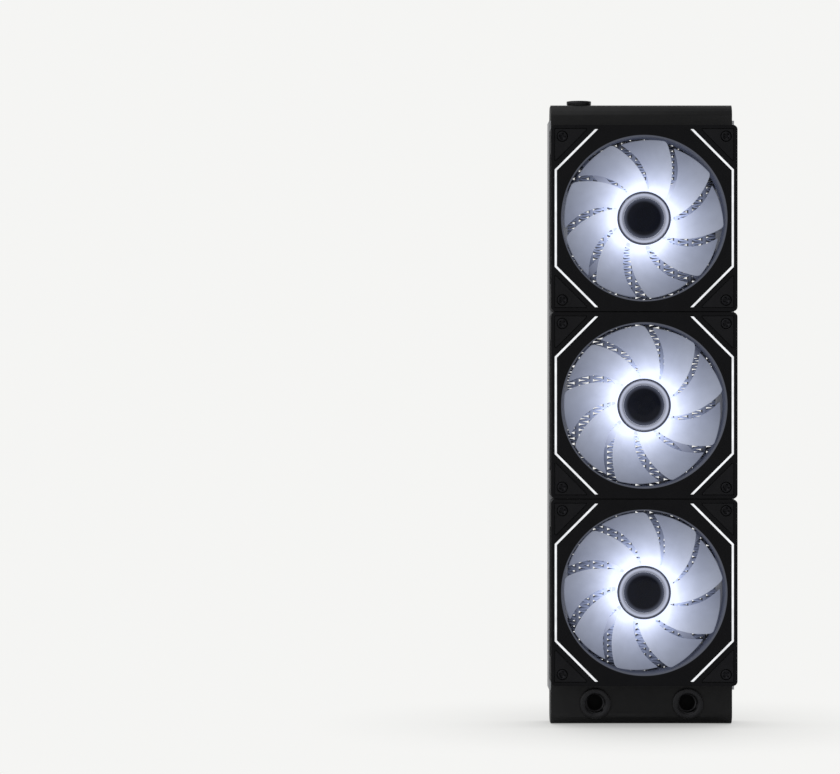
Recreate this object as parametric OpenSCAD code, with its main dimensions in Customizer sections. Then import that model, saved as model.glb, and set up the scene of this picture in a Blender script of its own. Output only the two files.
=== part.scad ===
// Liquid cooling radiator for three 120 mm fans, with its lit fans bolted to the front.
// Millimetres. +Z is up the radiator, -Y is the side that the fans face, and y = 0 is the
// back face that is screwed to a computer case. The origin is the middle of that face,
// level with the middle fan.

/* [Fan layout] */
// Number of millimetres from one fan centre to the next
fan_pitch = 120; // [120:0.5:121]
// Width and height of one fan frame
fan_size = 119.5; // [119:0.1:119.8]
// Depth of one fan frame from back to front
fan_depth = 25; // [25:0.5:27]
// Distance between two neighbouring screw holes of a fan
hole_spacing = 105; // [104.8:0.1:105.2]

/* [Fan frame] */
// Radius of the outside corners
corner_r = 3; // [2:0.5:4]
// Radius of the air duct
duct_r = 52.4; // [52:0.1:52.8]
// Width of the chamfer at the duct's front edge
duct_chamfer = 0.9; // [0.5:0.1:1.2]
// Radius of the clearance hole for a screw
screw_hole_r = 2.15; // [2:0.05:2.3]
// Depth of the panel sunk into each side
side_recess = 1.2; // [0.6:0.1:1.5]
// Radius of the disc that carries the motor
motor_base_r = 20; // [19.8:0.1:20.5]

/* [Light lines] */
// Distance from the fan's middle to an upright light line
light_x = 56.7; // [56:0.1:57]
// Sum of x and y along a slanted light line
light_sum = 87.6; // [87:0.1:88.5]
// Height at which a light line is cut off
light_end = 57; // [56:0.1:57.3]
// Width of a light line
light_w = 1.3; // [1.2:0.1:1.9]
// Height of the clear guide that shows the light
guide_h = 3.2; // [2.6:0.1:3.6]

/* [Corner pads] */
// Distance from the fan's middle to a pad's outer edges
pad_edge = 57.2; // [56.8:0.1:57.4]
// Distance from the fan's middle to a pad's blunt tips
pad_tip = 37.2; // [36.8:0.1:38]
// Sum of x and y along a pad's slanted edge
pad_sum = 93.6; // [93:0.1:94]
// Thickness of a pad
pad_h = 1.8; // [1.4:0.1:2]

/* [Impeller] */
// Number of blades
blade_count = 9; // [7:1:9]
// Radius at the blade tips
blade_r = 51.4; // [50.5:0.1:51.5]
// Thickness of a blade
blade_t = 1.6; // [1.2:0.1:2]
// Gap between two blades at the hub
root_gap = 1.5; // [1.2:0.1:2.5]
// Gap between two blades at their tips
tip_gap = 6.6; // [5.5:0.1:7.5]
// Angle by which a blade sweeps forward from hub to tip
blade_sweep = 33; // [25:1:35]
// Outside radius of the hub
hub_r = 17.2; // [17:0.1:17.4]
// Outside radius of the mirror disc on the hub
mirror_r = 13; // [12:0.1:14]

/* [Radiator core] */
// Depth of the radiator from back to front
rad_depth = 27; // [27:0.5:30]
// Width of the radiator over its side rails
rad_width = 120; // [120:0.1:120.5]
// Depth of the tubes and fins
core_depth = 18; // [16:0.5:18]
// Number of flat water tubes
tube_count = 12; // [10:1:13]
// Thickness of a flat water tube
tube_t = 2; // [1.8:0.1:2.2]
// Length of one wave of a folded fin
fin_pitch = 3.6; // [3.4:0.1:5]

/* [Tanks and ports] */
// Height of the return tank at the top
top_tank_h = 15; // [14:0.5:18]
// Height of the port tank at the bottom
bottom_tank_h = 27; // [25:0.5:30]
// Distance of each port from the middle
port_x = 30; // [25:1:38]
// Tapping radius of a G1/4 port
port_bore_r = 5.9; // [5.7:0.1:5.9]
// Length of the thread in a port
port_thread = 8; // [7:0.5:8]

/* [Hidden] */
// Smoothness of round shapes
$fn = 96;
// Half a screw pattern
hole_xy = hole_spacing / 2;
// Clearance between pieces that are slid or pressed together
slip = 0.05;
// How far a cutting shape runs past the face it cuts
over = 1;

// Fan heights, and how far each impeller is turned at rest
FAN_Z = [fan_pitch, 0, -fan_pitch];
REST_TURN = [-20, -3.5, -4.5];
ALL_FANS = [0, 1, 2];
// The sides of the middle line, and the sign pairs of the four corners
SIDES = [-1, 1];
CORNERS = [[-1, -1], [1, -1], [1, 1], [-1, 1]];

// Light groove, led strip and guide, measured down from the fan's front face
led_strip_h = 1.2;
led_pcb_h = 0.4;
groove_depth = guide_h + led_strip_h;
led_spacing = 7.6;
led_size = 1.1;

// Fan frame details
panel_length = 84;
panel_margin = 5;
strut_w = 5;
strut_h = 3.5;
strut_reach = 54;
base_h = 2;
base_rim_h = 5;
base_rim_t = 1;
bearing_tube_r = 4.6;
bearing_bore_r = 3.3;
bearing_tube_top = 16.5;
board_seat_r = 6.5;
board_z = 3.2;
board_h = 1.2;
board_r = 18.6;
board_hole_r = 5;
hub_led_r = 17.6;
hub_led_size = 1.6;
hub_led_h = 0.8;
hub_led_count = 12;
label_r = 16.8;
label_h = 0.25;

// Power socket in the frame's side
socket_y = -36;
socket_z = 10;
socket_l = 10.4;
socket_w = 5.2;
socket_depth = 6;
socket_wall = 0.8;
pin_count = 4;
pin_spacing = 2;
pin_size = 0.5;
pin_l = 4;

// Motor
shaft_r = 1.5;
shaft_bottom = 2.4;
shaft_top = fan_depth - 3.6;
sleeve_bore_r = 1.54;
sleeve_bottom = 4.3;
sleeve_top = 16.3;
clip_z = 3.3;
clip_h = 0.6;
clip_r = 2.8;
clip_neck_r = 1.1;
core_bottom = 7;
core_top = 14;
core_ring_r = 7.2;
core_r = 12.4;
arm_w = 4.5;
arm_end_r = 11.6;
shoe_angle = 68;
arm_count = 4;
insulation_t = 0.4;
coil_t = 2;
coil_start_r = 7.8;
coil_end_r = 10.4;
coil_round = 1;
magnet_inner_r = 12.9;
magnet_r = 14.85;
magnet_bottom = 6.5;
magnet_top = 17;
yoke_r = 15.8;
yoke_bottom = 6.2;
yoke_t = 0.9;

// Impeller levels, from the fan's back face
hub_wall_t = 1.35;
hub_bottom = 5.5;
hub_top = fan_depth - 3.3;
hub_plate_t = 1.5;
boss_r = 3.2;
boss_bottom = 17.2;
lip_t = 1;
lip_top = fan_depth - 1.5;
ring_top = fan_depth - 1.7;
mirror_top = fan_depth - 2.3;
blade_root_r = 16.5;
blade_front = fan_depth - 3.6;
blade_back = 6.3;
blade_stations = 6;
chord_stations = 4;
blade_camber = 0.1;

// Screws that hold the fans to the radiator
screw_r = 1.5;
screw_head_r = 3.3;
screw_seat_r = 3.6;
screw_tip_z = -3.2;
screw_cross_l = 3.6;
screw_cross_w = 0.9;
screw_cross_h = 1.1;

// Radiator body
rail_t = 1.2;
rail_flange = 12;
header_t = 1.6;
core_half = 180;
header_z = core_half - header_t;
rail_tab = 4.5;
collar_r = 2.8;
case_thread_r = 1.25;
thread_l = 3;
core_front = -(rad_depth + core_depth) / 2;
core_w = rad_width - 2 * rail_t;
tube_wall = 0.35;
tube_proud = 1;
tube_step = (core_w + tube_t) / (tube_count + 1);
fin_w = tube_step - tube_t;
fin_t = 0.2;
fin_margin = 1.4;
fin_waves = floor(2 * (header_z - fin_margin) / fin_pitch);
tank_w = core_w - 2 * slip;
tank_wall = 1.5;
tank_round = 7;
divider_t = 1.5;
divider_gap = 0.03;

// Ports and bleed plug
port_z = -core_half - bottom_tank_h / 2;
port_flange_r = 10;
port_flange_h = 1.5;
port_body_r = 8.5;
port_body_l = 6.5;
bleed_x = -40;
bleed_r = 6.4;
bleed_head_r = 8;
bleed_head_h = 2;
bleed_body_l = 7;
bleed_hex_r = 3.1;
bleed_hex_h = 3.2;
boss_wall = 2.4;
seal_r = 0.5;
seal_ring_r = 7.2;

// ---- Placing ----

// Puts a fan's local frame in place: its back face on the radiator, its front towards -Y
module at_fan(i) {
    translate([0, -rad_depth, FAN_Z[i]]) rotate([90, 0, 0]) children();
}

// The same, turned about the fan's axis by the impeller's angle at rest
module at_rotor(i) {
    at_fan(i) rotate([0, 0, REST_TURN[i]]) children();
}

module at_every_fan() {
    for (i = ALL_FANS) at_fan(i) children();
}

module at_corners(half) {
    for (c = CORNERS) translate([c[0] * half, c[1] * half, 0]) children();
}

// ---- Shared outlines and solids ----

module rounded_square(size, r) {
    square([size, size - 2 * r], center = true);
    square([size - 2 * r, size], center = true);
    at_corners(size / 2 - r) circle(r = r);
}

module ring(r_out, r_in, bottom, top) {
    translate([0, 0, bottom]) difference() {
        cylinder(r = r_out, h = top - bottom);
        translate([0, 0, -over]) cylinder(r = r_in, h = top - bottom + 2 * over);
    }
}

// All points with |x| <= side and |x| + |y| <= corner_sum
module diamond_outline(side, corner_sum) {
    intersection() {
        square([2 * side, 2 * corner_sum], center = true);
        rotate(45) square(corner_sum * sqrt(2), center = true);
    }
}

// The left and right light lines seen from the front; grow widens them all round
module light_outline(grow) {
    half = light_w / 2 + grow;
    intersection() {
        difference() {
            diamond_outline(light_x + half, light_sum + half * sqrt(2));
            diamond_outline(light_x - half, light_sum - half * sqrt(2));
        }
        square([2 * fan_size, 2 * (light_end + grow)], center = true);
    }
}

// A corner pad seen from the front, in the corner where x and y are positive
module pad_outline(grow) {
    edge = pad_edge + grow;
    tip = pad_tip - grow;
    slant = pad_sum - grow * sqrt(2);
    polygon([[edge, edge], [tip, edge], [tip, slant - tip], [slant - tip, tip], [edge, tip]]);
}

// ---- Fan frame ----

module frame_block() {
    linear_extrude(fan_depth) rounded_square(fan_size, corner_r);
}

module duct_cut() {
    translate([0, 0, -over]) cylinder(r = duct_r, h = fan_depth + 2 * over);
    translate([0, 0, fan_depth - duct_chamfer])
        cylinder(r1 = duct_r, r2 = duct_r + duct_chamfer + over, h = duct_chamfer + over);
}

module side_panel_cuts() {
    for (turn = [0, 90, 180, 270]) rotate(turn)
        translate([fan_size / 2 - side_recess, -panel_length / 2, panel_margin])
            cube([side_recess + over, panel_length, fan_depth - 2 * panel_margin]);
}

module screw_hole_cuts() {
    at_corners(hole_xy) translate([0, 0, -over])
        cylinder(r = screw_hole_r, h = fan_depth + 2 * over);
}

module pad_seat_cuts() {
    for (sx = SIDES, sy = SIDES) mirror([sx < 0 ? 1 : 0, 0, 0]) mirror([0, sy < 0 ? 1 : 0, 0])
        translate([0, 0, fan_depth - pad_h]) linear_extrude(pad_h + over) pad_outline(0.35);
}

module light_groove_cut() {
    translate([0, 0, fan_depth - groove_depth]) linear_extrude(groove_depth + over)
        light_outline(slip);
}

module socket_pocket_cut() {
    translate([fan_size / 2 - socket_depth, socket_y - socket_l / 2, socket_z - socket_w / 2])
        cube([socket_depth + over, socket_l, socket_w]);
}

module motor_base() {
    difference() {
        union() {
            cylinder(r = motor_base_r, h = base_h);
            ring(motor_base_r + base_rim_t / 2, motor_base_r - base_rim_t / 2, 0, base_rim_h);
            cylinder(r = board_seat_r, h = board_z);
            cylinder(r = bearing_tube_r, h = bearing_tube_top);
        }
        translate([0, 0, base_h]) cylinder(r = bearing_bore_r, h = bearing_tube_top);
        translate([0, 0, -over]) cylinder(r = label_r + slip, h = label_h + over);
    }
}

module struts() {
    for (turn = [45, 135, 225, 315]) rotate(turn)
        translate([motor_base_r - base_rim_t, -strut_w / 2, 0])
            cube([strut_reach - motor_base_r + base_rim_t, strut_w, strut_h]);
}

module fan_frame() {
    color([0.09, 0.09, 0.1]) {
        difference() {
            frame_block();
            duct_cut();
            side_panel_cuts();
            screw_hole_cuts();
            pad_seat_cuts();
            light_groove_cut();
            socket_pocket_cut();
        }
        motor_base();
        struts();
    }
}

module light_guides() {
    color([0.95, 0.97, 1]) translate([0, 0, fan_depth - guide_h])
        linear_extrude(guide_h) light_outline(0);
}

// ---- Impeller ----

// How far radius r lies inside the tips: 0 at the tips and 1 at the blade roots
function inset(r) = (blade_r - r) / (blade_r - blade_root_r);
// The gap ahead of a blade at radius r, and the angle of its middle; forward is a larger angle
function gap_angle(r) = (tip_gap + (root_gap - tip_gap) * inset(r) * inset(r)) / r * 180 / PI;
function gap_middle(r) = 90 - blade_sweep * inset(r);
function lead_angle(r) = gap_middle(r) - gap_angle(r) / 2;
function chord_angle(r) = 360 / blade_count - gap_angle(r);
// Height of the blade's middle surface: u is 0 at the leading edge, which is the back one,
// and 1 at the trailing edge. The air is blown forwards, away from the radiator.
function blade_z(u) = blade_back + (blade_front - blade_back) * (u - blade_camber * sin(180 * u));
function blade_dz(u) = (blade_front - blade_back) * (1 - blade_camber * PI * cos(180 * u));
// Half the thickness, thinner at both edges
function half_t(u) = blade_t / 2 * (0.55 + 0.45 * sin(180 * u));
// A point on the blade, with side 1 for its front skin and -1 for its back skin
function blade_point(r, u, side) =
    let (run = r * chord_angle(r) * PI / 180, rise = blade_dz(u), slope = norm([run, rise]))
    let (shift = side * half_t(u) * rise / slope / r * 180 / PI)
    let (angle = lead_angle(r) - u * chord_angle(r) + shift)
    [r * cos(angle), r * sin(angle), blade_z(u) + side * half_t(u) * run / slope];
function blade_section(r) = [
    for (k = [0:chord_stations - 1]) blade_point(r, k / (chord_stations - 1), 1),
    for (k = [chord_stations - 1:-1:0]) blade_point(r, k / (chord_stations - 1), -1)
];

// Two triangles across the blade's thickness, between chord stations k and k + 1
function end_strip(first, k, n) = [
    [first + k, first + k + 1, first + n - 2 - k],
    [first + k, first + n - 2 - k, first + n - 1 - k]
];

module blade() {
    n = 2 * chord_stations;
    points = [
        for (s = [0:blade_stations - 1])
            each blade_section(blade_root_r + (blade_r - blade_root_r) * s / (blade_stations - 1))
    ];
    skin = [
        for (s = [0:blade_stations - 2], k = [0:n - 1])
            let (a = s * n + k, b = s * n + (k + 1) % n)
            each [[a, a + n, b + n], [a, b + n, b]]
    ];
    root_face = [for (k = [0:chord_stations - 2]) each end_strip(0, k, n)];
    tip_face = [for (k = [0:chord_stations - 2]) each end_strip((blade_stations - 1) * n, k, n)];
    polyhedron(points, concat(root_face, skin, [for (f = tip_face) [f[2], f[1], f[0]]]));
}

module impeller() {
    color([0.87, 0.9, 0.97]) difference() {
        union() {
            ring(hub_r, hub_r - hub_wall_t, hub_bottom, hub_top);
            ring(hub_r, hub_r - lip_t, hub_top - hub_plate_t, lip_top);
            translate([0, 0, hub_top - hub_plate_t]) cylinder(r = hub_r, h = hub_plate_t);
            translate([0, 0, boss_bottom]) cylinder(r = boss_r, h = hub_top - boss_bottom);
            for (k = [0:blade_count - 1]) rotate(k * 360 / blade_count) blade();
        }
        translate([0, 0, shaft_bottom]) cylinder(r = shaft_r, h = shaft_top - shaft_bottom);
    }
}

module hub_ring() {
    color([0.75, 0.78, 0.88]) ring(hub_r - lip_t - slip, mirror_r + slip, hub_top, ring_top);
}

module hub_mirror() {
    color([0.2, 0.2, 0.28]) translate([0, 0, hub_top])
        cylinder(r = mirror_r, h = mirror_top - hub_top);
}

// ---- Motor ----

module rotor_yoke() {
    plate_top = hub_top - hub_plate_t;
    color([0.6, 0.61, 0.63]) {
        ring(yoke_r, yoke_r - yoke_t, yoke_bottom, plate_top);
        ring(yoke_r, boss_r, plate_top - yoke_t, plate_top);
    }
}

module magnet_ring() {
    color([0.16, 0.15, 0.15]) ring(magnet_r, magnet_inner_r, magnet_bottom, magnet_top);
}

module shaft() {
    color([0.8, 0.81, 0.83]) difference() {
        translate([0, 0, shaft_bottom]) cylinder(r = shaft_r, h = shaft_top - shaft_bottom);
        ring(shaft_r + over, clip_neck_r, clip_z, clip_z + clip_h);
    }
}

module shaft_clip() {
    color([0.85, 0.85, 0.8]) ring(clip_r, clip_neck_r, clip_z, clip_z + clip_h);
}

module bearing_sleeve() {
    color([0.72, 0.5, 0.28])
        ring(bearing_bore_r, sleeve_bore_r, sleeve_bottom, sleeve_top);
}

// The ring and arms of the stator, with arms of the given width that end at the given radius
module spider_outline(ring_r, width, end_r) {
    circle(r = ring_r);
    for (k = [0:arm_count - 1]) rotate(k * 360 / arm_count)
        translate([0, -width / 2]) square([end_r, width]);
}

module pole_shoe_outline() {
    reach = 2 * core_r;
    intersection() {
        difference() {
            circle(r = core_r);
            circle(r = arm_end_r);
        }
        polygon([
            [0, 0],
            [reach, -reach * tan(shoe_angle / 2)],
            [reach, reach * tan(shoe_angle / 2)]
        ]);
    }
}

module core_stack() {
    translate([0, 0, core_bottom]) linear_extrude(core_top - core_bottom) {
        spider_outline(core_ring_r, arm_w, arm_end_r + insulation_t);
        for (k = [0:arm_count - 1]) rotate(k * 360 / arm_count) pole_shoe_outline();
    }
}

module stator_bore_cut() {
    cylinder(r = bearing_tube_r + slip, h = fan_depth);
}

module stator_core() {
    color([0.5, 0.51, 0.53]) difference() {
        core_stack();
        stator_bore_cut();
    }
}

module stator_insulator() {
    wide = arm_w + 2 * insulation_t;
    color([0.9, 0.89, 0.84]) difference() {
        translate([0, 0, core_bottom - insulation_t])
            linear_extrude(core_top - core_bottom + 2 * insulation_t)
                spider_outline(core_ring_r + insulation_t, wide, arm_end_r);
        core_stack();
        stator_bore_cut();
    }
}

module coil() {
    inner_w = arm_w + 2 * insulation_t;
    inner_h = core_top - core_bottom + 2 * insulation_t;
    middle_z = (core_top + core_bottom) / 2;
    translate([coil_start_r, 0, middle_z]) rotate([90, 0, 90])
        linear_extrude(coil_end_r - coil_start_r) difference() {
            union() {
                square([inner_w + 2 * coil_t, inner_h + 2 * (coil_t - coil_round)], center = true);
                square([inner_w + 2 * (coil_t - coil_round), inner_h + 2 * coil_t], center = true);
                for (c = CORNERS)
                    translate([
                        c[0] * (inner_w / 2 + coil_t - coil_round),
                        c[1] * (inner_h / 2 + coil_t - coil_round)
                    ]) circle(r = coil_round);
            }
            square([inner_w, inner_h], center = true);
        }
}

module windings() {
    color([0.75, 0.4, 0.2])
        for (k = [0:arm_count - 1]) rotate(k * 360 / arm_count) coil();
}

module driver_board() {
    board_top = board_z + board_h;
    color([0.1, 0.1, 0.12]) {
        ring(board_r, board_hole_r, board_z, board_top);
        for (k = [0:hub_led_count - 1]) rotate((k + 0.5) * 360 / hub_led_count)
            translate([hub_led_r - hub_led_size / 2, -hub_led_size / 2, board_top])
                cube([hub_led_size, hub_led_size, hub_led_h]);
    }
}

// ---- Small pieces of all three fans ----

module corner_pad() {
    difference() {
        linear_extrude(pad_h) pad_outline(0);
        translate([hole_xy, hole_xy, -over]) cylinder(r = screw_seat_r, h = pad_h + 2 * over);
    }
}

module corner_pads() {
    color([0.13, 0.13, 0.14]) at_every_fan() translate([0, 0, fan_depth - pad_h])
        for (sx = SIDES, sy = SIDES)
            mirror([sx < 0 ? 1 : 0, 0, 0]) mirror([0, sy < 0 ? 1 : 0, 0]) corner_pad();
}

module led_row(length) {
    count = floor(length / led_spacing);
    for (k = [0:count - 1])
        translate([-led_size / 2, (k + 0.5 - count / 2) * led_spacing - led_size / 2, 0])
            cube([led_size, led_size, led_strip_h]);
}

module led_strip() {
    corner_y = light_sum - light_x;
    slant = (light_end - corner_y) * sqrt(2);
    linear_extrude(led_pcb_h) light_outline(-slip);
    for (sx = SIDES) {
        translate([sx * light_x, 0, 0]) led_row(2 * corner_y);
        for (sy = SIDES)
            translate([sx * (light_sum - light_end + light_x) / 2, sy * (light_end + corner_y) / 2, 0])
                rotate(sx * sy * 45) led_row(slant);
    }
}

module led_strips() {
    color([0.9, 0.93, 1]) at_every_fan() translate([0, 0, fan_depth - groove_depth]) led_strip();
}

module stator_insulators() {
    at_every_fan() stator_insulator();
}

module motor_labels() {
    color([0.3, 0.3, 0.32]) at_every_fan() cylinder(r = label_r, h = label_h);
}

module fan_screw() {
    head_z = fan_depth - pad_h;
    difference() {
        union() {
            translate([0, 0, head_z]) cylinder(r = screw_head_r, h = pad_h);
            translate([0, 0, screw_tip_z]) cylinder(r = screw_r, h = head_z - screw_tip_z);
        }
        for (turn = [0, 90]) rotate(turn)
            translate([-screw_cross_l / 2, -screw_cross_w / 2, fan_depth - screw_cross_h])
                cube([screw_cross_l, screw_cross_w, screw_cross_h + over]);
    }
}

module fan_screws() {
    color([0.12, 0.12, 0.13]) at_every_fan() at_corners(hole_xy) fan_screw();
}

module power_socket() {
    length = socket_l - 2 * slip;
    width = socket_w - 2 * slip;
    translate([fan_size / 2 - socket_depth, socket_y, socket_z]) difference() {
        translate([0, -length / 2, -width / 2]) cube([socket_depth, length, width]);
        translate([socket_wall, socket_wall - length / 2, socket_wall - width / 2])
            cube([socket_depth, length - 2 * socket_wall, width - 2 * socket_wall]);
    }
}

module power_sockets() {
    color([0.08, 0.08, 0.08]) at_every_fan() power_socket();
}

module socket_pins() {
    color([0.85, 0.7, 0.35]) at_every_fan()
        for (k = [0:pin_count - 1])
            translate([
                fan_size / 2 - socket_depth + socket_wall,
                socket_y + (k - (pin_count - 1) / 2) * pin_spacing - pin_size / 2,
                socket_z - pin_size / 2
            ]) cube([pin_l, pin_size, pin_size]);
}

// ---- Radiator core ----

// Middle of water tube k, counted from the left
function tube_x(k) = -core_w / 2 + fin_w + tube_t / 2 + k * tube_step;

module tube_outline(grow) {
    r = tube_t / 2 + grow;
    straight = core_depth - tube_t;
    square([2 * r, straight], center = true);
    for (side = SIDES) translate([0, side * straight / 2]) circle(r = r);
}

// One fin strip as a zigzag band, folded along Z
module fin_strip_outline() {
    steps = 2 * fin_waves;
    band = fin_t * norm([2 * fin_w, fin_pitch]) / fin_pitch;
    rise = fin_w - band - 2 * slip;
    start = -fin_waves * fin_pitch / 2;
    polygon([
        for (k = [0:steps]) [slip + (k % 2) * rise, start + k * fin_pitch / 2],
        for (k = [steps:-1:0]) [slip + (k % 2) * rise + band, start + k * fin_pitch / 2]
    ]);
}

module cooling_fins() {
    color([0.16, 0.16, 0.17])
        for (k = [0:tube_count])
            translate([-core_w / 2 + k * tube_step, core_front + core_depth, 0]) rotate([90, 0, 0])
                linear_extrude(core_depth) fin_strip_outline();
}

module flat_tubes() {
    length = 2 * (core_half + tube_proud);
    color([0.2, 0.2, 0.21])
        for (k = [0:tube_count - 1]) translate([tube_x(k), -rad_depth / 2, -length / 2])
            linear_extrude(length) difference() {
                tube_outline(0);
                tube_outline(-tube_wall);
            }
}

module header_plate() {
    difference() {
        translate([-tank_w / 2, -rad_depth, 0]) cube([tank_w, rad_depth, header_t]);
        for (k = [0:tube_count - 1]) translate([tube_x(k), -rad_depth / 2, -over])
            linear_extrude(header_t + 2 * over) tube_outline(slip);
    }
}

module top_header() {
    color([0.14, 0.14, 0.15]) translate([0, 0, header_z]) header_plate();
}

module bottom_header() {
    color([0.14, 0.14, 0.15]) translate([0, 0, -core_half]) header_plate();
}

// Side view of a tank of height h that opens downwards at height 0, shrunk by inset
module tank_profile(h, inset) {
    r = tank_round - inset;
    low = -rad_depth + inset;
    top = h - inset;
    translate([low, 0]) square([-low - inset, top - r]);
    translate([low + r, 0]) square([-low - inset - 2 * r, top]);
    for (y = [low + r, -inset - r]) translate([y, top - r]) circle(r = r);
}

// The tank's solid between two side walls, with Y along the radiator's depth and Z up
module tank_solid(h, inset, width) {
    translate([-width / 2, 0, 0]) rotate([90, 0, 90]) linear_extrude(width) tank_profile(h, inset);
}

module tank_shell(h) {
    difference() {
        tank_solid(h, 0, tank_w);
        intersection() {
            tank_solid(h, tank_wall, tank_w - 2 * tank_wall);
            translate([-tank_w, -2 * rad_depth, 0]) cube([2 * tank_w, 4 * rad_depth, h]);
        }
    }
}

module top_tank() {
    boss_h = bleed_body_l - tank_wall;
    color([0.12, 0.12, 0.13]) translate([0, 0, core_half]) difference() {
        union() {
            tank_shell(top_tank_h);
            translate([bleed_x, -rad_depth / 2, top_tank_h - tank_wall - boss_h])
                cylinder(r = bleed_r + boss_wall, h = boss_h + tank_wall / 2);
        }
        translate([bleed_x, -rad_depth / 2, top_tank_h - bleed_body_l - over])
            cylinder(r = bleed_r + slip, h = bleed_body_l + 2 * over);
    }
}

module at_port(side) {
    translate([side * port_x, -rad_depth, port_z]) rotate([90, 0, 0]) children();
}

module bottom_tank() {
    color([0.12, 0.12, 0.13]) difference() {
        translate([0, 0, -core_half]) mirror([0, 0, 1]) tank_shell(bottom_tank_h);
        for (side = SIDES) at_port(side) translate([0, 0, -tank_wall - over])
            cylinder(r = port_body_r + slip, h = tank_wall + 2 * over);
    }
}

module tank_divider() {
    color([0.3, 0.3, 0.31]) translate([0, 0, -core_half]) mirror([0, 0, 1])
        intersection() {
            tank_solid(bottom_tank_h, tank_wall + divider_gap, divider_t);
            translate([-divider_t, -2 * rad_depth, divider_gap])
                cube([2 * divider_t, 4 * rad_depth, bottom_tank_h]);
        }
}

// ---- Side rails ----

module rail_profile() {
    outer = rad_width / 2;
    translate([outer - rail_t, -rad_depth]) square([rail_t, rad_depth]);
    for (y = [-rad_depth, -rail_t])
        translate([outer - rail_flange, y]) square([rail_flange, rail_t]);
}

// A collar's place on the flange whose outer face is at y, with local Z towards -Y
module at_collar(y, z) {
    translate([hole_xy, y, z]) rotate([90, 0, 0]) children();
}

module rail() {
    hole_heights = [for (z = FAN_Z, side = SIDES) z + side * hole_xy];
    fan_collar_y = -rad_depth + thread_l;
    difference() {
        union() {
            translate([0, 0, -header_z]) linear_extrude(2 * header_z) rail_profile();
            translate([rad_width / 2 - rail_t, -rad_depth, -core_half - rail_tab])
                cube([rail_t, rad_depth, 2 * (core_half + rail_tab)]);
            for (z = hole_heights, y = [0, fan_collar_y]) at_collar(y, z)
                cylinder(r = collar_r, h = thread_l);
        }
        for (z = hole_heights) {
            at_collar(over, z) cylinder(r = case_thread_r, h = thread_l + 2 * over);
            at_collar(fan_collar_y + over, z) cylinder(r = screw_r + slip, h = thread_l + 2 * over);
        }
    }
}

module left_rail() {
    color([0.7, 0.71, 0.72]) mirror([1, 0, 0]) rail();
}

module right_rail() {
    color([0.7, 0.71, 0.72]) rail();
}

// ---- Ports and bleed plug ----

module port(side) {
    color([0.13, 0.13, 0.14]) at_port(side) difference() {
        union() {
            cylinder(r = port_flange_r, h = port_flange_h);
            translate([0, 0, -port_body_l]) cylinder(r = port_body_r, h = port_body_l);
        }
        translate([0, 0, port_flange_h - port_thread - over])
            cylinder(r = port_bore_r, h = port_thread + 2 * over);
    }
}

module at_bleed() {
    translate([bleed_x, -rad_depth / 2, core_half + top_tank_h]) children();
}

module bleed_plug() {
    top = 2 * seal_r + bleed_head_h;
    color([0.13, 0.13, 0.14]) at_bleed() difference() {
        union() {
            translate([0, 0, 2 * seal_r]) cylinder(r = bleed_head_r, h = bleed_head_h);
            translate([0, 0, -bleed_body_l]) cylinder(r = bleed_r, h = bleed_body_l + 2 * seal_r);
        }
        translate([0, 0, top - bleed_hex_h]) cylinder(r = bleed_hex_r, h = bleed_hex_h + over, $fn = 6);
    }
}

module bleed_seal() {
    color([0.05, 0.05, 0.05]) at_bleed() translate([0, 0, seal_r])
        rotate_extrude() translate([seal_ring_r, 0]) circle(r = seal_r);
}

at_fan(0) fan_frame();  // upper_fan_frame
at_fan(0) light_guides();  // upper_fan_light_guides
at_rotor(0) impeller();  // upper_fan_impeller
at_rotor(0) hub_ring();  // upper_fan_hub_ring
at_rotor(0) hub_mirror();  // upper_fan_hub_mirror
at_rotor(0) rotor_yoke();  // upper_fan_rotor_yoke
at_rotor(0) magnet_ring();  // upper_fan_magnet_ring
at_rotor(0) shaft();  // upper_fan_shaft
at_rotor(0) shaft_clip();  // upper_fan_shaft_clip
at_fan(0) bearing_sleeve();  // upper_fan_bearing_sleeve
at_fan(0) stator_core();  // upper_fan_stator_core
at_fan(0) windings();  // upper_fan_windings
at_fan(0) driver_board();  // upper_fan_driver_board
at_fan(1) fan_frame();  // middle_fan_frame
at_fan(1) light_guides();  // middle_fan_light_guides
at_rotor(1) impeller();  // middle_fan_impeller
at_rotor(1) hub_ring();  // middle_fan_hub_ring
at_rotor(1) hub_mirror();  // middle_fan_hub_mirror
at_rotor(1) rotor_yoke();  // middle_fan_rotor_yoke
at_rotor(1) magnet_ring();  // middle_fan_magnet_ring
at_rotor(1) shaft();  // middle_fan_shaft
at_rotor(1) shaft_clip();  // middle_fan_shaft_clip
at_fan(1) bearing_sleeve();  // middle_fan_bearing_sleeve
at_fan(1) stator_core();  // middle_fan_stator_core
at_fan(1) windings();  // middle_fan_windings
at_fan(1) driver_board();  // middle_fan_driver_board
at_fan(2) fan_frame();  // lower_fan_frame
at_fan(2) light_guides();  // lower_fan_light_guides
at_rotor(2) impeller();  // lower_fan_impeller
at_rotor(2) hub_ring();  // lower_fan_hub_ring
at_rotor(2) hub_mirror();  // lower_fan_hub_mirror
at_rotor(2) rotor_yoke();  // lower_fan_rotor_yoke
at_rotor(2) magnet_ring();  // lower_fan_magnet_ring
at_rotor(2) shaft();  // lower_fan_shaft
at_rotor(2) shaft_clip();  // lower_fan_shaft_clip
at_fan(2) bearing_sleeve();  // lower_fan_bearing_sleeve
at_fan(2) stator_core();  // lower_fan_stator_core
at_fan(2) windings();  // lower_fan_windings
at_fan(2) driver_board();  // lower_fan_driver_board
corner_pads();
led_strips();
stator_insulators();
motor_labels();
fan_screws();
power_sockets();
socket_pins();
cooling_fins();
flat_tubes();
top_header();
bottom_header();
top_tank();
bottom_tank();
tank_divider();
left_rail();
right_rail();
port(-1);  // inlet_port
port(1);  // outlet_port
bleed_plug();
bleed_seal();
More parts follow.
